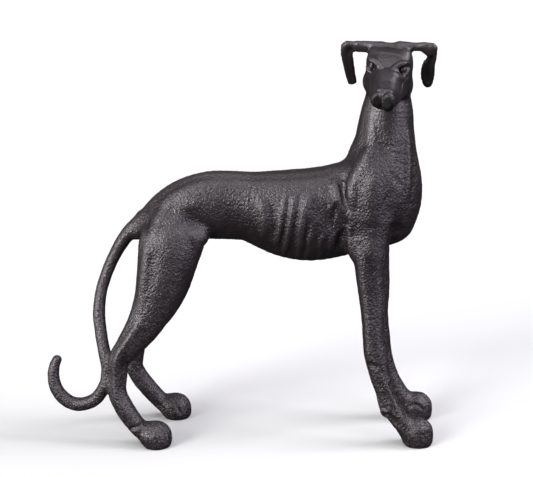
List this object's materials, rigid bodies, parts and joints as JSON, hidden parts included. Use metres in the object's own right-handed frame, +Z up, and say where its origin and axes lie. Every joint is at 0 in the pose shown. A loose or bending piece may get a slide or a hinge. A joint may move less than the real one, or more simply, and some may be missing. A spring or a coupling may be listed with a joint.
{
  "type": "greyhound sculpture",
  "caption": "Cast iron greyhound standing with its head turned to one side, ribs showing and the tail hooked below the hock.",
  "frame": {"origin": "on the ground under the middle of the casting's box", "axes": "+X towards the dog's chest, -Y towards its right side, where it looks, +Z up"},
  "size_m": [0.3384, 0.113, 0.3417],
  "materials": {
    "greyhound": "dull black-brown painted sand casting"
  },
  "bodies": {
    "root": {"greyhound": "greyhound"}
  },
  "joints": []
}
